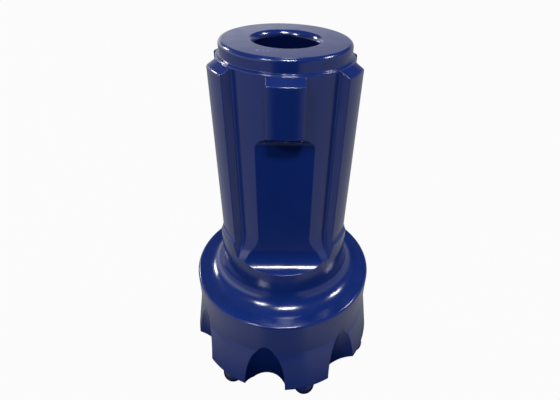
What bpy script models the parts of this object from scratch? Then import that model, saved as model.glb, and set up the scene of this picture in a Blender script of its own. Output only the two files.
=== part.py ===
"""Button drill bit of the down-the-hole kind, standing on its face buttons, shank up.

One steel body (bored, splined, pocketed and fluted) and thirteen carbide buttons, each
in its own drilled socket. Metres, +Z up, the origin on the bit's axis at the level of the
tips of the face buttons, the front pocket towards -Y. The buttons touch nothing below
the face but the ground, so the overall length is the height of the top face.
"""

import math

import bmesh
import bpy
from mathutils import Matrix, Vector

MM = 0.001

# Overall sizes
LENGTH = 185.0 * MM          # ground to the struck top face
GAUGE_R = 54.2 * MM          # lower edge of the head's skirt
SPLINE_R = 32.5 * MM         # crest of the splines
HEAD_R = 49.1 * MM           # band round the top of the head
SHOULDER_Z = 62.8 * MM       # flat shoulder on top of the head
FACE_Z = 5.0 * MM            # flat drilling face over the button tips

# The shank's top end, counted down from the struck face
COLLAR_HEIGHT = 5.3 * MM     # plain top collar over its thin ledge
LEAD_DROP = 8.2 * MM         # to the outer corner of the lead chamfer on the splines
LEAD_RISE = 2.3 * MM         # height of that chamfer
POCKET_DROP = 28.4 * MM      # to the upper end wall of the pockets

# The shank's low end, counted up from the shoulder
SHANK_HEIGHT = 33.1 * MM     # lower collar, to where the splines end on it
POCKET_RISE = 20.9 * MM      # to the lower end wall of the pockets
RUNOUT_RISE = 38.6 * MM      # to where the groove floors start to rise
SHANK_STEP = 1.35 * MM       # height of the small cone between splines and lower collar

# The head, counted down from the shoulder, and its bevel, counted up from the face
BAND_HEIGHT = 22.0 * MM      # band, down to the small cone
STEP_HEIGHT = 4.1 * MM       # that cone, down to the skirt
FLUTE_DROP = 17.1 * MM       # to where the flutes run out on the band
BORE_DROP = 16.8 * MM        # to the end of the full bore, over its drill point
BEVEL_HEIGHT = 7.9 * MM      # face bevel, up to the gauge
BEVEL_DEG = 40.0             # slope of the face bevel that the gauge buttons stand on

# Steps between the radii of the turned blank
GROOVE_DEPTH = 4.1 * MM      # grooves between the splines, under the crests
SHANK_OUT = 1.2 * MM         # lower collar, beyond the crests
COLLAR_IN = 1.3 * MM         # top collar, inside the groove floors
BAND_OUT = 0.2 * MM          # taper of the band
STEP_OUT = 1.2 * MM          # skirt just under the small cone, beyond the band
BORE_R = 13.0 * MM           # air bore
MOUTH_WIDTH = 1.7 * MM       # countersink round its mouth
MOUTH_DEPTH = 2.2 * MM
SHOULDER_FILLET = 10.0 * MM
COLLAR_ROUND = 1.1 * MM
HEAD_ROUND = 0.9 * MM
LEDGE_ROUND = 0.5 * MM

# Splines: what the form cutter leaves between two grooves
SPLINES = 6
SPLINE_WIDTH = 14.1 * MM
GROOVE_FILLET = 2.4 * MM
CUTTER_R = 21.3 * MM         # radius on which the groove floor rises at its run-out

# Pockets for the retaining pins, milled across the shank, one in front and one behind
POCKET_FLAT = 25.6 * MM      # distance of the flat from the axis
POCKET_TOP_R = 7.1 * MM
POCKET_LOW_R = 9.6 * MM

# Flutes that let the cuttings up past the head, two of them deeper than the rest
FLUTES = 7
MAIN_FLUTES = (0, 4)         # the deep ones, in front and behind
FLUTE_TURN = -10.7           # degrees from the front pocket to the nearest flute
FLUTE_R = 11.5 * MM
FLUTE_SLOPE = 6.5            # degrees between a flute and the axis
MAIN_FLUTE_SLOPE = 13.4

# Carbide buttons and their sockets
CLEARANCE = 0.3 * MM         # left between a button and its socket
GAUGE_BUTTON_R = 6.0 * MM
GAUGE_BUTTON_OUT = 6.5 * MM  # height of a gauge button over the bevel
GAUGE_BUTTON_IN = 13.0 * MM  # length of a gauge button in its socket
GAUGE_BUTTON_INSET = 6.0 * MM    # from the gauge in to where its axis crosses the bevel
FACE_BUTTON_R = 6.5 * MM
FACE_BUTTON_IN = 11.0 * MM
OUTER_RING_R = 26.0 * MM     # four face buttons
INNER_RING_R = 9.5 * MM      # two face buttons

# Two flushing holes from the bore to the face, in front and behind
FLUSH_R = 6.0 * MM
FLUSH_FROM = 7.0 * MM        # distance from the axis inside the bore
FLUSH_AT = 13.0 * MM         # distance from the axis at the face

TURN_STEPS = 72

# Levels and radii that follow
LEDGE_Z = LENGTH - COLLAR_HEIGHT
SPLINE_TOP_Z = LENGTH - LEAD_DROP
POCKET_TOP_Z = LENGTH - POCKET_DROP
SPLINE_END_Z = SHOULDER_Z + SHANK_HEIGHT
RUNOUT_Z = SHOULDER_Z + RUNOUT_RISE
POCKET_LOW_Z = SHOULDER_Z + POCKET_RISE
BAND_LOW_Z = SHOULDER_Z - BAND_HEIGHT
SKIRT_TOP_Z = BAND_LOW_Z - STEP_HEIGHT
FLUTE_TOP_Z = SHOULDER_Z - FLUTE_DROP
BORE_END_Z = SHOULDER_Z - BORE_DROP
GAUGE_Z = FACE_Z + BEVEL_HEIGHT
CORE_R = SPLINE_R - GROOVE_DEPTH
SHANK_R = SPLINE_R + SHANK_OUT
COLLAR_R = CORE_R - COLLAR_IN
SKIRT_TOP_R = HEAD_R + STEP_OUT
FLUTE_TOP_R = HEAD_R + 0.75 * BAND_OUT
BEVEL = math.radians(BEVEL_DEG)
FACE_FLAT_R = GAUGE_R - BEVEL_HEIGHT / math.tan(BEVEL)
GAUGE_BUTTON_AT = GAUGE_R - GAUGE_BUTTON_INSET
HALF_SPLINE = SPLINE_WIDTH / 2
AIR = 12.0 * MM              # how far a cutter reaches past the steel

PARTS = "button_drill_bit"
CUTTERS = "cutters"


def clear_scene():
    for obj in list(bpy.data.objects):
        bpy.data.objects.remove(obj, do_unlink=True)


def collection(name):
    group = bpy.data.collections.get(name) or bpy.data.collections.new(name)
    if name not in bpy.context.scene.collection.children:
        bpy.context.scene.collection.children.link(group)
    return group


def material(name, colour, metallic, roughness):
    mat = bpy.data.materials.get(name)
    if mat is None:
        mat = bpy.data.materials.new(name)
        mat.use_nodes = True
        shader = mat.node_tree.nodes["Principled BSDF"]
        shader.inputs["Base Color"].default_value = (*colour, 1.0)
        shader.inputs["Metallic"].default_value = metallic
        shader.inputs["Roughness"].default_value = roughness
    return mat


def body_paint():
    return material("navy_paint", (0.006, 0.024, 0.150), 0.0, 0.28)


def button_paint():
    return material("painted_carbide", (0.004, 0.010, 0.045), 0.0, 0.32)


def arc(centre, radius, start, stop, count):
    """Points from angle start to angle stop (degrees) round a centre in a plane."""
    points = []
    for i in range(count + 1):
        a = math.radians(start + (stop - start) * i / count)
        points.append((centre[0] + radius * math.cos(a), centre[1] + radius * math.sin(a)))
    return points


def turned(name, profile, steps, group):
    """A solid turned about Z from (radius, height) points that run down the outside."""
    mesh = bpy.data.meshes.new(name)
    bm = bmesh.new()
    verts = [bm.verts.new((r, 0.0, z)) for r, z in profile]
    for a, b in zip(verts, verts[1:]):
        bm.edges.new((a, b))
    bm.to_mesh(mesh)
    bm.free()
    obj = bpy.data.objects.new(name, mesh)
    collection(group).objects.link(obj)
    screw = obj.modifiers.new("turn", "SCREW")
    screw.axis = "Z"
    screw.angle = math.tau
    screw.steps = screw.render_steps = steps
    screw.use_merge_vertices = True
    screw.merge_threshold = 0.00001
    return obj


def cutter(name, bm, matrix=None):
    mesh = bpy.data.meshes.new(name)
    bmesh.ops.recalc_face_normals(bm, faces=bm.faces)
    bm.to_mesh(mesh)
    bm.free()
    obj = bpy.data.objects.new(name, mesh)
    collection(CUTTERS).objects.link(obj)
    obj.hide_render = True
    obj.display_type = "WIRE"
    if matrix is not None:
        obj.matrix_world = matrix
    return obj


def cut(target, tool):
    mod = target.modifiers.new(tool.name, "BOOLEAN")
    mod.operation = "DIFFERENCE"
    mod.solver = "EXACT"
    mod.object = tool


def drill(name, radius, mouth, direction, depth, sides=24):
    """A cutter for a round hole: from AIR outside its mouth to its depth along direction."""
    direction = direction.normalized()
    bm = bmesh.new()
    bmesh.ops.create_cone(bm, cap_ends=True, segments=sides, radius1=radius, radius2=radius,
                          depth=depth + AIR)
    turn = Vector((0, 0, 1)).rotation_difference(direction).to_matrix().to_4x4()
    centre = mouth + direction * (depth - AIR) / 2
    return cutter(name, bm, Matrix.Translation(centre) @ turn)


def finish(obj, mat, sharp=30.0):
    """Applies the modifiers, shades the piece smooth with its real edges sharp."""
    depsgraph = bpy.context.evaluated_depsgraph_get()
    mesh = bpy.data.meshes.new_from_object(obj.evaluated_get(depsgraph))
    obj.modifiers.clear()
    old = obj.data
    obj.data = mesh
    bpy.data.meshes.remove(old)
    mesh.name = obj.name
    bm = bmesh.new()
    bm.from_mesh(mesh)
    bmesh.ops.remove_doubles(bm, verts=bm.verts, dist=0.002 * MM)
    bmesh.ops.dissolve_degenerate(bm, edges=bm.edges, dist=0.002 * MM)
    bm.to_mesh(mesh)
    bm.free()
    mesh.materials.clear()
    mesh.materials.append(mat)
    mesh.shade_smooth()
    mesh.set_sharp_from_angle(angle=math.radians(sharp))


def at_angle(degrees):
    """Turn about the axis; 0 is the front, -Y, and positive goes to +X."""
    return Matrix.Rotation(math.radians(degrees), 4, "Z")


def front(radius, z):
    return Vector((0.0, -radius, z))


def bore_profile():
    """From the drill point on the axis up the bore to its countersunk mouth."""
    point = BORE_R / math.tan(math.radians(59))
    return [
        (0.0, BORE_END_Z - point),
        (BORE_R, BORE_END_Z),
        (BORE_R, LENGTH - MOUTH_DEPTH),
        (BORE_R + MOUTH_WIDTH, LENGTH),
    ]


def shank_profile():
    """Down the outside from the struck face to the shoulder of the head."""
    top = arc((COLLAR_R - COLLAR_ROUND, LENGTH - COLLAR_ROUND), COLLAR_ROUND, 90, 0, 4)
    ledge_r = CORE_R - 0.1 * MM
    ledge = arc((ledge_r - LEDGE_ROUND, LEDGE_Z - LEDGE_ROUND), LEDGE_ROUND, 90, 0, 3)
    lead = [(CORE_R, SPLINE_TOP_Z + LEAD_RISE), (SPLINE_R, SPLINE_TOP_Z)]
    end = [(SPLINE_R, SPLINE_END_Z), (SHANK_R, SPLINE_END_Z - SHANK_STEP)]
    fillet = arc((SHANK_R + SHOULDER_FILLET, SHOULDER_Z + SHOULDER_FILLET), SHOULDER_FILLET,
                 180, 270, 8)
    return top + [(COLLAR_R, LEDGE_Z)] + ledge + lead + end + fillet


def head_profile():
    """Down the outside of the head, over the bevel and in across the drilling face."""
    edge = arc((HEAD_R - HEAD_ROUND, SHOULDER_Z - HEAD_ROUND), HEAD_ROUND, 90, 0, 3)
    return edge + [
        (HEAD_R + BAND_OUT, BAND_LOW_Z),
        (SKIRT_TOP_R, SKIRT_TOP_Z),
        (GAUGE_R, GAUGE_Z),
        (FACE_FLAT_R, FACE_Z),
        (0.0, FACE_Z),
    ]


def groove_section():
    """Outline of a groove between two splines: x runs along its middle, away from the axis.

    The side walls are parallel to the splines they belong to, the floor follows the core,
    and a fillet joins them.
    """
    half = math.pi / SPLINES
    along = Vector((math.cos(half), math.sin(half)))     # crest line of the upper spline
    inward = Vector((math.sin(half), -math.cos(half)))   # from that spline into the groove
    reach = CORE_R + GROOVE_FILLET
    off = HALF_SPLINE + GROOVE_FILLET
    centre = along * math.sqrt(reach ** 2 - off ** 2) + inward * off
    floor_end = math.degrees(math.atan2(centre.y, centre.x))
    wall_turn = math.degrees(math.atan2(-inward.y, -inward.x))
    upper = [Vector(p) for p in arc(centre, GROOVE_FILLET, floor_end + 180, wall_turn, 4)]
    far = (SHANK_R + 6.0 * MM) / math.cos(half)
    upper.append(along * far + inward * HALF_SPLINE)
    floor = [Vector(p) for p in arc((0, 0), CORE_R, -floor_end, floor_end, 8)][1:-1]
    lower = [Vector((p.x, -p.y)) for p in reversed(upper)]
    return lower + floor + upper


def groove_cutter(index):
    """The path of the form cutter: straight down the shank, then out on its own radius."""
    bm = bmesh.new()
    ring = [bm.verts.new((p.x, p.y, RUNOUT_Z)) for p in groove_section()]
    face = bm.faces.new(ring)
    up = bmesh.ops.extrude_face_region(bm, geom=[face], use_keep_orig=True)
    lifted = [v for v in up["geom"] if isinstance(v, bmesh.types.BMVert)]
    bmesh.ops.translate(bm, verts=lifted, vec=(0, 0, LENGTH + AIR - RUNOUT_Z))
    bmesh.ops.spin(bm, geom=[face], cent=(CORE_R + CUTTER_R, 0, RUNOUT_Z), axis=(0, -1, 0),
                   dvec=(0, 0, 0), angle=math.radians(56), steps=9, use_duplicate=False)
    inner = [f for f in bm.faces if all(abs(v.co.z - RUNOUT_Z) < 1e-7 for v in f.verts)]
    bmesh.ops.delete(bm, geom=inner, context="FACES_ONLY")
    middle = 360.0 / SPLINES * (index + 0.5) - 90.0
    return cutter(f"groove_{index + 1}", bm, Matrix.Rotation(math.radians(middle), 4, "Z"))


def pocket_cutter(name, turn):
    """A flat milled across the shank, with a round end wall above and a long one below."""
    top = arc((-POCKET_FLAT - POCKET_TOP_R, POCKET_TOP_Z - POCKET_TOP_R), POCKET_TOP_R, 90, 0, 8)
    low = arc((-POCKET_FLAT - POCKET_LOW_R, POCKET_LOW_Z + POCKET_LOW_R), POCKET_LOW_R, 0, -90, 10)
    far = -SHANK_R - AIR
    outline = [(far, POCKET_TOP_Z)] + top + low + [(far, POCKET_LOW_Z)]
    bm = bmesh.new()
    face = bm.faces.new([bm.verts.new((-SHANK_R - AIR, y, z)) for y, z in outline])
    side = bmesh.ops.extrude_face_region(bm, geom=[face], use_keep_orig=True)
    moved = [v for v in side["geom"] if isinstance(v, bmesh.types.BMVert)]
    bmesh.ops.translate(bm, verts=moved, vec=(2 * (SHANK_R + AIR), 0, 0))
    return cutter(name, bm, at_angle(turn))


def flute_angle(index):
    return FLUTE_TURN + 360.0 / FLUTES * index


def flute_cutter(index):
    """A round cutter that comes down the head at a slope and leaves through the face."""
    slope = math.radians(MAIN_FLUTE_SLOPE if index in MAIN_FLUTES else FLUTE_SLOPE)
    down = Vector((0.0, math.sin(slope), -math.cos(slope)))
    across = Vector((0.0, -math.cos(slope), -math.sin(slope)))
    apex = front(FLUTE_TOP_R, FLUTE_TOP_Z) + across * FLUTE_R
    reach = 58.0 * MM
    bm = bmesh.new()
    bmesh.ops.create_cone(bm, cap_ends=True, segments=36, radius1=FLUTE_R, radius2=FLUTE_R,
                          depth=2 * reach)
    turn = Vector((0, 0, -1)).rotation_difference(down).to_matrix().to_4x4()
    place = Matrix.Translation(apex) @ turn
    return cutter(f"flute_{index + 1}", bm, at_angle(flute_angle(index)) @ place)


def gauge_button_places():
    """Mouth on the bevel and direction out of the steel, one in the middle of each land."""
    mouth_z = FACE_Z + (GAUGE_BUTTON_AT - FACE_FLAT_R) * math.tan(BEVEL)
    for i in range(FLUTES):
        turn = at_angle(flute_angle(i + 0.5))
        out = turn @ Vector((0.0, -math.sin(BEVEL), -math.cos(BEVEL)))
        yield f"gauge_button_{i + 1}", turn @ front(GAUGE_BUTTON_AT, mouth_z), out


def face_button_places():
    spots = [(OUTER_RING_R, 45.0 + 90.0 * i) for i in range(4)]
    spots += [(INNER_RING_R, 90.0 + 180.0 * i) for i in range(2)]
    for i, (radius, degrees) in enumerate(spots):
        yield f"face_button_{i + 1}", at_angle(degrees) @ front(radius, FACE_Z), Vector((0, 0, -1))


def button(name, radius, out, length, mouth, direction):
    """A carbide insert with a round head, its shank standing clear of the socket's floor."""
    chamfer = 0.8 * MM
    dome = arc((0.0, out - radius), radius, 90, 0, 5)
    profile = [(r if i else 0.0, z) for i, (r, z) in enumerate(dome)]
    profile += [(radius, -length + chamfer), (radius - chamfer, -length), (0.0, -length)]
    obj = turned(name, profile, 20, PARTS)
    turn = Vector((0, 0, 1)).rotation_difference(direction).to_matrix().to_4x4()
    obj.matrix_world = Matrix.Translation(mouth) @ turn
    finish(obj, button_paint())
    return obj


def make_body():
    profile = bore_profile() + shank_profile() + head_profile()
    body = turned("bit_body", profile, TURN_STEPS, PARTS)
    for i in range(SPLINES):
        cut(body, groove_cutter(i))
    cut(body, pocket_cutter("pocket_front", 0.0))
    cut(body, pocket_cutter("pocket_back", 180.0))
    for i in range(FLUTES):
        cut(body, flute_cutter(i))
    for name, mouth, out in gauge_button_places():
        cut(body, drill("socket_" + name, GAUGE_BUTTON_R + CLEARANCE, mouth, -out,
                        GAUGE_BUTTON_IN + CLEARANCE))
    for name, mouth, out in face_button_places():
        cut(body, drill("socket_" + name, FACE_BUTTON_R + CLEARANCE, mouth, -out,
                        FACE_BUTTON_IN + CLEARANCE))
    for i in range(2):
        turn = at_angle(180.0 * i)
        mouth = turn @ front(FLUSH_AT, FACE_Z)
        along = turn @ front(FLUSH_FROM, BORE_END_Z) - mouth
        cut(body, drill(f"flushing_hole_{i + 1}", FLUSH_R, mouth, along, along.length))
    finish(body, body_paint())
    return body


def make_buttons():
    for name, mouth, out in gauge_button_places():
        button(name, GAUGE_BUTTON_R, GAUGE_BUTTON_OUT, GAUGE_BUTTON_IN, mouth, out)
    for name, mouth, out in face_button_places():
        button(name, FACE_BUTTON_R, FACE_Z, FACE_BUTTON_IN, mouth, out)


clear_scene()
make_body()
make_buttons()
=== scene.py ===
"""Looks of the button drill bit: fine steel body and buttons, sprayed navy, in a white studio.

Sizes are in millimetres times MM and repeat the CAD model's, in the same frame: +Z up, the
bit standing on its face buttons at z = 0, its front pocket towards -Y. Two of them are truer
to the photograph here: the groove fillets, and the convex lip round the mouth of the bore.
"""
import math

import bmesh
import bpy
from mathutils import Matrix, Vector


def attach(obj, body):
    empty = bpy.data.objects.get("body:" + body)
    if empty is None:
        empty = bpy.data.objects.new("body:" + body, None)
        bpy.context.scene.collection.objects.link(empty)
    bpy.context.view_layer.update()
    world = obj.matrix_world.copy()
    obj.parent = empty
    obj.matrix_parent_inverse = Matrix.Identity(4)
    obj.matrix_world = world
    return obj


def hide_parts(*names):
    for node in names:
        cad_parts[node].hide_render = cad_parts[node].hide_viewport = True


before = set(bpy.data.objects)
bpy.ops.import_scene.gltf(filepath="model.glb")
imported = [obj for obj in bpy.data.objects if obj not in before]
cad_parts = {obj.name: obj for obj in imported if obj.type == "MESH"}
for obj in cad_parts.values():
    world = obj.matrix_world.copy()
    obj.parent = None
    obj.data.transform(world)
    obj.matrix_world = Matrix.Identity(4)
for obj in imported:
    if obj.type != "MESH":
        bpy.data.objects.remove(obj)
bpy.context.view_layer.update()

MM = 0.001

# The blank: one forged bar of alloy steel, bored from the struck end and turned outside to
# the collar, the spline crests, the lower collar, the shoulder with its fillet, and the head.
LENGTH = 185.0 * MM
FACE_Z = 5.0 * MM
GAUGE_Z = 12.9 * MM
GAUGE_R = 54.2 * MM
BEVEL = math.radians(40)
CORE_R = 28.4 * MM
FACE_FLAT_R = GAUGE_R - (GAUGE_Z - FACE_Z) / math.tan(BEVEL)
BORE_R = 13.0 * MM
BORE_END_Z = 46.0 * MM
AIR = 12 * MM                   # how far a cutter reaches past the steel
TURNING_STEPS = 192
ARC_STEP = math.radians(7)      # largest turn between two points of an arc
STRAIGHT = 0.02                 # a turn, in radians, too small for an arc
BLANK_CORNERS = (               # radius, height and rounding of each corner, in mm
    (0.0, 38.2, 0.0), (13.0, 46.0, 0.0), (13.0, 182.7, 0.3), (13.43, 184.16, 3.8),
    (14.7, 185.0, 0.3), (27.1, 185.0, 1.6), (27.1, 179.7, 0.3), (28.35, 179.7, 0.55),
    (28.4, 179.1, 0.0), (32.5, 176.8, 0.9), (32.5, 95.9, 0.4), (33.7, 94.55, 0.5),
    (33.7, 62.8, 10.0), (49.1, 62.8, 1.4), (49.3, 40.8, 1.5), (50.3, 36.7, 2.0),
    (54.2, 12.9, 0.9), (FACE_FLAT_R / MM, 5.0, 0.8), (0.0, 5.0, 0.0),
)


def rounded_outline(corners):
    """The outline as points, each corner replaced by an arc of its rounding."""
    at = [Vector((r * MM, z * MM)) for r, z, _ in corners]
    points = [at[0]]
    for before, here, after, (_, _, rounding) in zip(at, at[1:], at[2:], corners[1:]):
        into, out = (here - before).normalized(), (after - here).normalized()
        turn = into.angle_signed(out)
        if rounding == 0.0 or abs(turn) < STRAIGHT:
            points.append(here)
            continue
        side = 1.0 if turn < 0 else -1.0        # angle_signed is positive clockwise
        reach = rounding * MM * math.tan(abs(turn) / 2)
        normal = Vector((-into.y, into.x)) * side
        start = here - into * reach
        centre = start + normal * rounding * MM
        arm = start - centre
        count = max(2, math.ceil(abs(turn) / ARC_STEP))
        for i in range(count + 1):
            a = side * abs(turn) * i / count
            points.append(centre + Vector((arm.x * math.cos(a) - arm.y * math.sin(a),
                                           arm.x * math.sin(a) + arm.y * math.cos(a))))
    return points + [at[-1]]


def put_in_scene(name, mesh):
    obj = bpy.data.objects.new(name, mesh)
    bpy.context.scene.collection.objects.link(obj)
    return obj


def keep_as_mesh(obj):
    """Applies what is on the object, so that it is a plain mesh at the origin."""
    seen = obj.evaluated_get(bpy.context.evaluated_depsgraph_get())
    mesh = bpy.data.meshes.new_from_object(seen)
    obj.modifiers.clear()
    obj.data = mesh
    return obj


def turned(name, outline, steps):
    """What a lathe makes of an outline of (radius, height) points."""
    bm = bmesh.new()
    verts = [bm.verts.new((p[0], 0.0, p[1])) for p in outline]
    for a, b in zip(verts, verts[1:]):
        bm.edges.new((a, b))
    mesh = bpy.data.meshes.new(name)
    bm.to_mesh(mesh)
    bm.free()
    obj = put_in_scene(name, mesh)
    screw = obj.modifiers.new("turning", "SCREW")
    screw.axis, screw.angle = "Z", math.tau
    screw.steps = screw.render_steps = steps
    screw.use_merge_vertices = True
    screw.merge_threshold = 0.000001
    return keep_as_mesh(obj)


body = turned("steel_body", rounded_outline(BLANK_CORNERS), TURNING_STEPS)


# Grooves between the six splines: a form cutter plunges through the lead chamfer, runs down
# the shank and lifts out over the lower collar on its own radius.
SPLINE_HALF = 7.05 * MM
GROOVE_FILLET = 1.0 * MM
RUNOUT_Z = 101.4 * MM
CUTTER_R = 21.3 * MM
RUNOUT_ARC = math.radians(56)   # how far the run-out is followed, till it leaves the steel
WALL_REACH = 45 * MM            # how far out the cutter's side walls go


def ring_tree():
    """Sets copies of the incoming shape round the bit's axis, all tilted towards it.

    The first copy and every Nth after it may have a tilt of their own, as the deep flutes have.
    """
    tree = bpy.data.node_groups.new("set_round_the_axis", "GeometryNodeTree")
    tree.interface.new_socket("Shape", in_out="INPUT", socket_type="NodeSocketGeometry")
    for name, kind in (("Count", "Int"), ("First Angle", "Float"), ("Step Angle", "Float"),
                       ("Radius", "Float"), ("Height", "Float"), ("Tilt", "Float"),
                       ("Nth", "Int"), ("Nth Tilt", "Float"), ("Finish", "Material")):
        tree.interface.new_socket(name, in_out="INPUT", socket_type="NodeSocket" + kind)
    tree.interface.new_socket("Shape", in_out="OUTPUT", socket_type="NodeSocketGeometry")
    node, link = tree.nodes.new, tree.links.new
    given, result = node("NodeGroupInput"), node("NodeGroupOutput")

    def number(operation, a, b):
        """The answer of one Math node, whose terms are sockets or plain numbers."""
        step = node("ShaderNodeMath")
        step.operation = operation
        for socket, value in zip(step.inputs, (a, b)):
            if isinstance(value, bpy.types.NodeSocket):
                link(value, socket)
            else:
                socket.default_value = value
        return step.outputs[0]

    index = node("GeometryNodeInputIndex").outputs[0]
    angle = number("ADD", given.outputs["First Angle"],
                   number("MULTIPLY", index, given.outputs["Step Angle"]))
    place = node("ShaderNodeCombineXYZ")
    to_front = number("MULTIPLY", given.outputs["Radius"], -1.0)
    link(number("MULTIPLY", number("SINE", angle, 0.0), given.outputs["Radius"]),
         place.inputs[0])
    link(number("MULTIPLY", number("COSINE", angle, 0.0), to_front), place.inputs[1])
    link(given.outputs["Height"], place.inputs[2])
    rest = number("MODULO", index, number("MAXIMUM", given.outputs["Nth"], 1.0))
    is_nth = number("MULTIPLY", number("LESS_THAN", rest, 0.5),
                    number("GREATER_THAN", given.outputs["Nth"], 0.5))
    extra = number("SUBTRACT", given.outputs["Nth Tilt"], given.outputs["Tilt"])
    turn = node("ShaderNodeCombineXYZ")
    link(number("ADD", given.outputs["Tilt"], number("MULTIPLY", is_nth, extra)),
         turn.inputs[0])
    link(angle, turn.inputs[2])
    points = node("GeometryNodePoints")
    link(given.outputs["Count"], points.inputs["Count"])
    link(place.outputs[0], points.inputs["Position"])
    copies = node("GeometryNodeInstanceOnPoints")
    link(points.outputs[0], copies.inputs["Points"])
    link(given.outputs["Shape"], copies.inputs["Instance"])
    rotation = node("FunctionNodeEulerToRotation")
    link(turn.outputs[0], rotation.inputs[0])
    link(rotation.outputs[0], copies.inputs["Rotation"])
    real = node("GeometryNodeRealizeInstances")
    link(copies.outputs[0], real.inputs[0])
    finish = node("GeometryNodeSetMaterial")
    link(real.outputs[0], finish.inputs["Geometry"])
    link(given.outputs["Finish"], finish.inputs["Material"])
    link(finish.outputs[0], result.inputs[0])
    return tree


ROUND_THE_AXIS = ring_tree()


def set_round(name, bm, finish=None, **sizes):
    """One shape repeated round the axis, as a plain mesh."""
    mesh = bpy.data.meshes.new(name)
    bmesh.ops.recalc_face_normals(bm, faces=bm.faces)
    bm.to_mesh(mesh)
    bm.free()
    obj = put_in_scene(name, mesh)
    ring = obj.modifiers.new("ring", "NODES")
    ring.node_group = ROUND_THE_AXIS
    for item in ROUND_THE_AXIS.interface.items_tree:
        key = item.name.replace(" ", "_").lower()
        if item.in_out == "INPUT" and key in sizes:
            ring[item.identifier] = sizes[key]
        elif item.name == "Finish" and finish is not None:
            ring[item.identifier] = finish
    return keep_as_mesh(obj)


def take_away(tool):
    """Cuts the tool's shape out of the body and puts the tool away."""
    cut = body.modifiers.new(tool.name, "BOOLEAN")
    cut.operation, cut.solver, cut.object = "DIFFERENCE", "EXACT", tool
    keep_as_mesh(body)
    bpy.data.objects.remove(tool, do_unlink=True)


def circle_points(centre, radius, start, stop, count):
    """Points on an arc in a plane, from start to stop in degrees."""
    angles = [math.radians(start + (stop - start) * i / count) for i in range(count + 1)]
    return [Vector((centre[0] + radius * math.cos(a), centre[1] + radius * math.sin(a)))
            for a in angles]


def groove_form():
    """The form cutter's section, its middle along -Y: parallel walls, fillets, core floor."""
    half = math.radians(30)
    crest = Vector((math.cos(half), math.sin(half)))
    inward = Vector((math.sin(half), -math.cos(half)))
    off = SPLINE_HALF + GROOVE_FILLET
    centre = crest * math.sqrt((CORE_R + GROOVE_FILLET) ** 2 - off ** 2) + inward * off
    floor_end = math.degrees(math.atan2(centre.y, centre.x))
    wall = math.degrees(math.atan2(-inward.y, -inward.x))
    upper = circle_points(centre, GROOVE_FILLET, floor_end + 180, wall, 8)
    upper.append(crest * WALL_REACH + inward * SPLINE_HALF)
    floor = circle_points((0, 0), CORE_R, -floor_end, floor_end, 20)[1:-1]
    lower = [Vector((p.x, -p.y)) for p in reversed(upper)]
    return [Vector((p.y, -p.x)) for p in lower + floor + upper]


def groove_shape():
    """The space that the cutter sweeps: straight up the shank, and out along the run-out."""
    bm = bmesh.new()
    face = bm.faces.new([bm.verts.new((p.x, p.y, RUNOUT_Z)) for p in groove_form()])
    up = bmesh.ops.extrude_face_region(bm, geom=[face], use_keep_orig=True)
    lifted = [v for v in up["geom"] if isinstance(v, bmesh.types.BMVert)]
    bmesh.ops.translate(bm, verts=lifted, vec=(0, 0, LENGTH + AIR - RUNOUT_Z))
    bmesh.ops.spin(bm, geom=[face], cent=(0, -CORE_R - CUTTER_R, RUNOUT_Z), axis=(-1, 0, 0),
                   dvec=(0, 0, 0), angle=RUNOUT_ARC, steps=28, use_duplicate=False)
    middle = [f for f in bm.faces if all(abs(v.co.z - RUNOUT_Z) < 1e-7 for v in f.verts)]
    bmesh.ops.delete(bm, geom=middle, context="FACES_ONLY")
    return bm


take_away(set_round("grooves", groove_shape(), count=6, first_angle=math.radians(30),
                    step_angle=math.radians(60)))


# Retaining pockets, milled flat across the shank in front and behind: a short round end wall
# above, a long sweep up to the lower collar below, where the cutter left the work.
POCKET_FLAT = 25.6 * MM
POCKET_TOP_Z, POCKET_TOP_R = 156.6 * MM, 7.1 * MM
POCKET_LOW_Z, POCKET_LOW_R = 83.7 * MM, 9.6 * MM
POCKET_REACH = 46 * MM          # half the length of the cut, and how far out it starts


def pocket_shape():
    """The space that the cutter sweeps along X, in front of the flat."""
    top = circle_points((-POCKET_FLAT - POCKET_TOP_R, POCKET_TOP_Z - POCKET_TOP_R),
                        POCKET_TOP_R, 90, 0, 20)
    low = circle_points((-POCKET_FLAT - POCKET_LOW_R, POCKET_LOW_Z + POCKET_LOW_R),
                        POCKET_LOW_R, 0, -90, 24)
    far = -POCKET_REACH
    outline = [Vector((far, POCKET_TOP_Z))] + top + low + [Vector((far, POCKET_LOW_Z))]
    bm = bmesh.new()
    face = bm.faces.new([bm.verts.new((-POCKET_REACH, p.x, p.y)) for p in outline])
    side = bmesh.ops.extrude_face_region(bm, geom=[face], use_keep_orig=True)
    moved = [v for v in side["geom"] if isinstance(v, bmesh.types.BMVert)]
    bmesh.ops.translate(bm, verts=moved, vec=(2 * POCKET_REACH, 0, 0))
    return bm


take_away(set_round("pockets", pocket_shape(), count=2, step_angle=math.pi))


# Flutes that let the cuttings up past the head: round grooves milled at a slope through the
# bevel, five shallow ones and two deep ones, one of them in front and one behind.
FLUTES = 7
FLUTE_TURN = math.radians(-10.7)
FLUTE_STEP = math.tau / FLUTES
FLUTE_R = 11.5 * MM
FLUTE_OUT_R, FLUTE_OUT_Z = 49.25 * MM, 45.7 * MM      # where the flutes run out on the head
FLUTE_SLOPE, DEEP_FLUTE_SLOPE = math.radians(6.5), math.radians(13.4)
DEEP_EVERY = 4
FLUTE_REACH = 58 * MM           # how far the cut goes either way from there


def rod_shape(radius, low, high, sides, aside=0.0):
    """A round bar along Z from low to high, its middle moved aside towards -Y."""
    bm = bmesh.new()
    bmesh.ops.create_cone(bm, cap_ends=True, segments=sides, radius1=radius, radius2=radius,
                          depth=high - low)
    bmesh.ops.translate(bm, verts=bm.verts, vec=(0, -aside, (low + high) / 2))
    return bm


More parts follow.
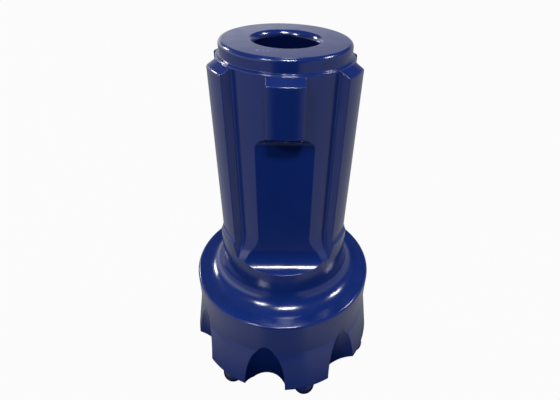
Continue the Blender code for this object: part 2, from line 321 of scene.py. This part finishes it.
take_away(set_round("flutes", rod_shape(FLUTE_R, -FLUTE_REACH, FLUTE_REACH, 96, FLUTE_R),
                    count=FLUTES, first_angle=FLUTE_TURN, step_angle=FLUTE_STEP,
                    radius=FLUTE_OUT_R, height=FLUTE_OUT_Z, tilt=FLUTE_SLOPE,
                    nth=DEEP_EVERY, nth_tilt=DEEP_FLUTE_SLOPE))


# Flushing holes, drilled from the face up into the bore, one in front and one behind.
FLUSH_R = 6.0 * MM
FLUSH_AT, FLUSH_FROM = 13.0 * MM, 7.0 * MM            # from the axis, below and above
flush_tilt = math.atan2(FLUSH_AT - FLUSH_FROM, BORE_END_Z - FACE_Z)
flush_length = math.hypot(FLUSH_AT - FLUSH_FROM, BORE_END_Z - FACE_Z)
for turn in (0.0, math.pi):
    take_away(set_round("flushing_hole", rod_shape(FLUSH_R, -AIR, flush_length, 64),
                        count=1, first_angle=turn, radius=FLUSH_AT, height=FACE_Z,
                        tilt=-flush_tilt))


# Sockets for the carbide buttons, drilled square to the surface that each stands on: seven
# through the bevel in the middle of the lands, four and two through the flat face.
BUTTON_GAP = 0.3 * MM
GAUGE_BUTTON_R = 6.0 * MM
GAUGE_BUTTON_IN = 13.0 * MM
GAUGE_BUTTON_AT = 48.2 * MM
GAUGE_BUTTON_Z = FACE_Z + (GAUGE_BUTTON_AT - FACE_FLAT_R) * math.tan(BEVEL)
FACE_BUTTON_R = 6.5 * MM
FACE_BUTTON_IN = 11.0 * MM
OUTER_RING_R, INNER_RING_R = 26.0 * MM, 9.5 * MM
gauge_ring = dict(count=FLUTES, first_angle=FLUTE_TURN + FLUTE_STEP / 2, step_angle=FLUTE_STEP,
                  radius=GAUGE_BUTTON_AT, height=GAUGE_BUTTON_Z, tilt=-BEVEL)
outer_ring = dict(count=4, first_angle=math.radians(45), step_angle=math.radians(90),
                  radius=OUTER_RING_R, height=FACE_Z)
inner_ring = dict(count=2, first_angle=math.radians(90), step_angle=math.pi,
                  radius=INNER_RING_R, height=FACE_Z)
for button_r, button_in, ring in ((GAUGE_BUTTON_R, GAUGE_BUTTON_IN, gauge_ring),
                                  (FACE_BUTTON_R, FACE_BUTTON_IN, outer_ring),
                                  (FACE_BUTTON_R, FACE_BUTTON_IN, inner_ring)):
    take_away(set_round("sockets", rod_shape(button_r + BUTTON_GAP, -AIR,
                                             button_in + BUTTON_GAP, 64), **ring))


# Navy paint, sprayed over the finished bit: a full satin gloss coat with a faint orange peel,
# a little thinner and paler in places, and a darker colour down the bore.
NICKS = (                       # place on the bit and half lengths of each chip, in mm
    ((-10.5, -17.4, 185.0), (0.75, 0.30, 0.5)), ((-6.5, -18.3, 185.0), (0.30, 0.28, 0.5)),
    ((-8.2, -17.2, 185.0), (0.25, 0.25, 0.5)),
)
PRIMER = (0.34, 0.34, 0.36)     # grey, shows where the coat was nicked
WELD = 0.002 * MM               # vertices closer than this are one


def vector_math(tree, operation, value, by=(0.0, 0.0, 0.0)):
    """The outputs of one Vector Math node."""
    step = tree.nodes.new("ShaderNodeVectorMath")
    step.operation = operation
    tree.links.new(value, step.inputs[0])
    step.inputs[1].default_value = by
    return step.outputs


def ramp(tree, value, start, stop, at_start, at_stop, kind="SMOOTHSTEP"):
    steps = tree.nodes.new("ShaderNodeMapRange")
    steps.interpolation_type = kind
    for name, number in zip(("From Min", "From Max", "To Min", "To Max"),
                            (start, stop, at_start, at_stop)):
        steps.inputs[name].default_value = number
    tree.links.new(value, steps.inputs["Value"])
    return steps.outputs["Result"]


def part_of(tree, vector, name):
    split = tree.nodes.new("ShaderNodeSeparateXYZ")
    tree.links.new(vector, split.inputs[0])
    return split.outputs[name]


def product(tree, a, b):
    step = tree.nodes.new("ShaderNodeMath")
    step.operation = "MULTIPLY"
    tree.links.new(a, step.inputs[0])
    tree.links.new(b, step.inputs[1])
    return step.outputs[0]


def mixed(tree, fac, otherwise, chosen):
    """Mixes two colours, each a socket or three numbers."""
    mix = tree.nodes.new("ShaderNodeMix")
    mix.data_type = "RGBA"
    tree.links.new(fac, mix.inputs["Factor"])
    for name, colour in (("A", otherwise), ("B", chosen)):
        if isinstance(colour, bpy.types.NodeSocket):
            tree.links.new(colour, mix.inputs[name])
        else:
            mix.inputs[name].default_value = (*colour, 1.0)
    return mix.outputs["Result"]


def sprayed_paint(name, thick, thin, roughness, darker_bore=None, nicks=()):
    """Paint between a thick and a thin coat's colour, darker down the bore, primer grey in the
    nicks.
    """
    paint = bpy.data.materials.new(name)
    paint.use_nodes = True
    tree = paint.node_tree
    nodes, link = tree.nodes, tree.links.new
    shader = nodes["Principled BSDF"]
    shader.inputs["Specular IOR Level"].default_value = 0.6
    where = nodes.new("ShaderNodeTexCoord").outputs["Object"]

    def cloud(scale, detail):
        noise = nodes.new("ShaderNodeTexNoise")
        noise.inputs["Scale"].default_value = scale
        noise.inputs["Detail"].default_value = detail
        link(where, noise.inputs["Vector"])
        return noise.outputs["Fac"]

    def spread(fac, low, high, to_low, to_high):
        return ramp(tree, fac, low, high, to_low, to_high, "LINEAR")

    def spot(centre, reach):
        """1 in the middle of an oval place on the bit, 0 outside it."""
        off = vector_math(tree, "SUBTRACT", where, Vector(centre) * MM)["Vector"]
        shrunk = vector_math(tree, "DIVIDE", off, Vector(reach) * MM)["Vector"]
        return spread(vector_math(tree, "LENGTH", shrunk)["Value"], 1.0, 0.6, 0.0, 1.0)

    coat = mixed(tree, spread(cloud(55.0, 4.0), 0.35, 0.70, 0.0, 1.0), thick, thin)
    # Down the bore the colour is darker.
    if darker_bore is not None:
        across = vector_math(tree, "MULTIPLY", where, (1.0, 1.0, 0.0))["Vector"]
        from_axis = vector_math(tree, "LENGTH", across)["Value"]
        inside = product(tree, spread(from_axis, BORE_R, BORE_R + 0.4 * MM, 1.0, 0.0),
                         spread(part_of(tree, where, "Z"), 15 * MM, 30 * MM, 0.0, 1.0))
        coat = mixed(tree, inside, coat, darker_bore)
    for centre, reach in nicks:
        coat = mixed(tree, spot(centre, reach), coat, PRIMER)
    link(coat, shader.inputs["Base Color"])
    link(spread(cloud(140.0, 3.0), 0.3, 0.7, roughness - 0.03, roughness + 0.05),
         shader.inputs["Roughness"])

    edge = nodes.new("ShaderNodeBevel")
    edge.samples = 6
    edge.inputs["Radius"].default_value = 0.6 * MM
    peel = nodes.new("ShaderNodeBump")
    peel.inputs["Strength"].default_value = 0.06
    peel.inputs["Distance"].default_value = 0.15 * MM
    link(cloud(520.0, 2.0), peel.inputs["Height"])
    link(edge.outputs["Normal"], peel.inputs["Normal"])
    link(peel.outputs["Normal"], shader.inputs["Normal"])
    return paint


def smooth_with_real_edges(obj, mat, angle=9):
    """Shades a piece smooth but for edges sharper than angle, and gives it its paint."""
    mesh = obj.data
    bm = bmesh.new()
    bm.from_mesh(mesh)
    bmesh.ops.remove_doubles(bm, verts=bm.verts, dist=WELD)
    bmesh.ops.dissolve_degenerate(bm, edges=bm.edges, dist=WELD)
    bm.to_mesh(mesh)
    bm.free()
    mesh.materials.clear()
    mesh.materials.append(mat)
    mesh.polygons.foreach_set("material_index", [0] * len(mesh.polygons))
    mesh.shade_smooth()
    mesh.set_sharp_from_angle(angle=math.radians(angle))


navy = sprayed_paint("navy_paint", (0.0037, 0.0160, 0.114), (0.0045, 0.0178, 0.125), 0.16,
                     darker_bore=(0.0010, 0.0045, 0.042), nicks=NICKS)
smooth_with_real_edges(body, navy)
weight = body.modifiers.new("flat_faces_lead", "WEIGHTED_NORMAL")
weight.keep_sharp = True
keep_as_mesh(body)
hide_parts("bit_body")
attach(body, "root")


# Carbide buttons: ground tungsten carbide pins with round heads, pressed into their sockets
# and painted over with the body, so they show darker where the coat is thin.
GAUGE_BUTTON_OUT = 6.5 * MM
BUTTON_CHAMFER = 0.8 * MM       # at the button's hidden end


def button_shape(radius, out, length):
    """One button, its head down, the surface of the steel at z = 0."""
    dome = circle_points((0.0, radius - out), radius, -90, 0, 14)
    outline = [Vector((0.0, length)), Vector((radius - BUTTON_CHAMFER, length)),
               Vector((radius, length - BUTTON_CHAMFER))] + dome[::-1][:-1]
    outline.append(Vector((0.0, -out)))
    bm = bmesh.new()
    verts = [bm.verts.new((p.x, 0.0, p.y)) for p in outline]
    edges = [bm.edges.new(pair) for pair in zip(verts, verts[1:])]
    bmesh.ops.spin(bm, geom=verts + edges, cent=(0, 0, 0), axis=(0, 0, 1), dvec=(0, 0, 0),
                   angle=math.tau, steps=40, use_merge=True, use_duplicate=False)
    bmesh.ops.remove_doubles(bm, verts=bm.verts, dist=0.005 * MM)
    return bm


dark = sprayed_paint("painted_carbide", (0.0030, 0.0075, 0.034), (0.0042, 0.0095, 0.042),
                     0.24)
gauge_buttons = set_round(
    "gauge_buttons", button_shape(GAUGE_BUTTON_R, GAUGE_BUTTON_OUT, GAUGE_BUTTON_IN), dark,
    **gauge_ring)
outer_buttons = set_round(
    "outer_face_buttons", button_shape(FACE_BUTTON_R, FACE_Z, FACE_BUTTON_IN), dark,
    **outer_ring)
inner_buttons = set_round(
    "inner_face_buttons", button_shape(FACE_BUTTON_R, FACE_Z, FACE_BUTTON_IN), dark,
    **inner_ring)
for piece, nodes in ((gauge_buttons, [f"gauge_button_{i}" for i in range(1, 8)]),
                     (outer_buttons, [f"face_button_{i}" for i in range(1, 5)]),
                     (inner_buttons, ["face_button_5", "face_button_6"])):
    smooth_with_real_edges(piece, dark)
    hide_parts(*nodes)
    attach(piece, "root")


# The studio: a white paper floor and backdrop, and soft boxes overhead. The gloss paint mirrors
# them all, the paper fainter than the camera sees it, with painted shade on it in front, where
# the camera stands, and a painted shadow of the bit close round it.
PAPER_IN_PAINT = 0.38           # strength of the paper where the paint mirrors it
CAMERA_SIDE = -205 * MM         # from here on the floor in front has painted shade, where the camera stands
PAINTED_SHADOW_REACH = 1.9 * GAUGE_R      # how far from the axis the painted shadow of the bit reaches on the floor
FLOOR_HALF = 2.5


def towards_front(tree, vector, inner, outer):
    """1 where a vector points within inner degrees of the front, 0 beyond outer degrees."""
    level = vector_math(tree, "MULTIPLY", vector, (1.0, 1.0, 0.0))["Vector"]
    heading = vector_math(tree, "NORMALIZE", level)["Vector"]
    forward = vector_math(tree, "DOT_PRODUCT", heading, (0.0, -1.0, 0.0))["Value"]
    return ramp(tree, forward, math.cos(math.radians(outer)), math.cos(math.radians(inner)),
                0.0, 1.0)


def white_light(tree, kind, strength):
    """Plain white light of a strength that is a number or a socket."""
    light = tree.nodes.new(kind)
    light.inputs["Color"].default_value = (1.0, 1.0, 1.0, 1.0)
    if isinstance(strength, bpy.types.NodeSocket):
        tree.links.new(strength, light.inputs["Strength"])
    else:
        light.inputs["Strength"].default_value = strength
    return light.outputs[0]


def choose(tree, fac, otherwise, chosen):
    """Mixes two shaders by a number or a socket."""
    mix = tree.nodes.new("ShaderNodeMixShader")
    for socket, source in zip(mix.inputs, (fac, otherwise, chosen)):
        if isinstance(source, bpy.types.NodeSocket):
            tree.links.new(source, socket)
        else:
            socket.default_value = source
    return mix.outputs[0]


floor_mat = bpy.data.materials.new("white_paper")
floor_mat.use_nodes = True
tree = floor_mat.node_tree
paper = tree.nodes["Principled BSDF"]
paper.inputs["Base Color"].default_value = (0.12, 0.12, 0.12, 1.0)
paper.inputs["Roughness"].default_value = 0.9
ray = tree.nodes.new("ShaderNodeLightPath")
place = tree.nodes.new("ShaderNodeTexCoord").outputs["Object"]
# Painted shade on the paper in front, where the camera stands.
painted_camera_shade = product(tree, towards_front(tree, place, 12, 28),
                   ramp(tree, part_of(tree, place, "Y"), 20 * MM, CAMERA_SIDE, 0.0, 1.0))
# Painted shadow of the bit: the paper darker close round its axis.
oval = vector_math(tree, "MULTIPLY", place, (1.2, 1.0, 1.0))["Vector"]
from_axis = vector_math(tree, "LENGTH", oval)["Value"]
lit = product(tree, ramp(tree, painted_camera_shade, 0.0, 1.0, PAPER_IN_PAINT, 0.0),
              ramp(tree, from_axis, GAUGE_R, PAINTED_SHADOW_REACH, 0.0, 1.0))
mirrored = white_light(tree, "ShaderNodeEmission", lit)
seen = choose(tree, 0.96, paper.outputs[0], white_light(tree, "ShaderNodeEmission", 1.0))
surface = choose(tree, ray.outputs["Is Camera Ray"], mirrored, seen)
tree.links.new(surface, tree.nodes["Material Output"].inputs["Surface"])
bm = bmesh.new()
bmesh.ops.create_grid(bm, x_segments=1, y_segments=1, size=FLOOR_HALF)
mesh = bpy.data.meshes.new("floor")
bm.to_mesh(mesh)
bm.free()
mesh.materials.append(floor_mat)
put_in_scene("floor", mesh)


LAMPS_FACE_Z = 90 * MM


def soft_box(name, azimuth, elevation, distance, width, height, radiance):
    """A lamp that faces the bit's middle; azimuth 0 is the front, and positive goes to +X.

    Angles are in degrees, sizes in metres, and the radiance is the same at any size.
    """
    a, e = math.radians(azimuth), math.radians(elevation)
    towards = Vector((math.sin(a) * math.cos(e), -math.cos(a) * math.cos(e), math.sin(e)))
    lamp = bpy.data.lights.new(name, "AREA")
    lamp.shape, lamp.size, lamp.size_y = "RECTANGLE", width, height
    lamp.energy = radiance * math.pi * width * height
    obj = bpy.data.objects.new(name, lamp)
    obj.location = Vector((0.0, 0.0, LAMPS_FACE_Z)) + towards * distance
    obj.rotation_euler = towards.to_track_quat("Z", "Y").to_euler()
    bpy.context.scene.collection.objects.link(obj)


soft_box("lamp_over_front", 8, 60, 2.2, 0.58, 0.19, 104.0)
soft_box("lamp_front_left", -38, 45, 2.2, 0.44, 0.20, 62.0)
soft_box("lamp_right", 98, 46, 2.2, 0.48, 0.20, 57.0)
soft_box("lamp_back_left", -128, 27, 2.2, 0.40, 0.28, 40.0)
soft_box("strip_overhead", 178, 57, 1.3, 0.14, 0.75, 3.4)

# The backdrop is white to the camera. In the paint it is bright low down, most of all to the
# left, and dark higher up and in front.
world = bpy.data.worlds.new("studio")
bpy.context.scene.world = world
world.use_nodes = True
tree = world.node_tree
ray = tree.nodes.new("ShaderNodeLightPath")
heading = tree.nodes.new("ShaderNodeTexCoord").outputs["Generated"]
low_only = ramp(tree, part_of(tree, heading, "Z"), 0.19, 0.38, 1.0, 0.08)
not_in_front = ramp(tree, towards_front(tree, heading, 15, 45), 0.0, 1.0, 1.0, 0.0)
left_over_right = ramp(tree, part_of(tree, heading, "X"), -0.6, 0.4, 1.3, 0.5)
walls = product(tree, product(tree, low_only, not_in_front), left_over_right)
around = white_light(tree, "ShaderNodeBackground", walls)
surface = choose(tree, ray.outputs["Is Camera Ray"], around,
                 white_light(tree, "ShaderNodeBackground", 1.0))
tree.links.new(surface, tree.nodes["World Output"].inputs["Surface"])
bpy.context.scene.view_settings.view_transform = "Standard"


# The camera, close above the bit's shoulder as in the photograph.
lens = bpy.data.cameras.new("camera")
lens.sensor_width = 36.0
lens.lens = 25.12534
lens.shift_x, lens.shift_y = -0.03784213, 0.02602605
lens.clip_start, lens.clip_end = 0.001, 20.0
camera = bpy.data.objects.new("camera", lens)
camera.location = (0.0, -0.16604474, 0.22590184)
camera.rotation_euler = [math.radians(a) for a in (51.94237628, -2.06829974, -1.55324564)]
bpy.context.scene.collection.objects.link(camera)
bpy.context.scene.camera = camera
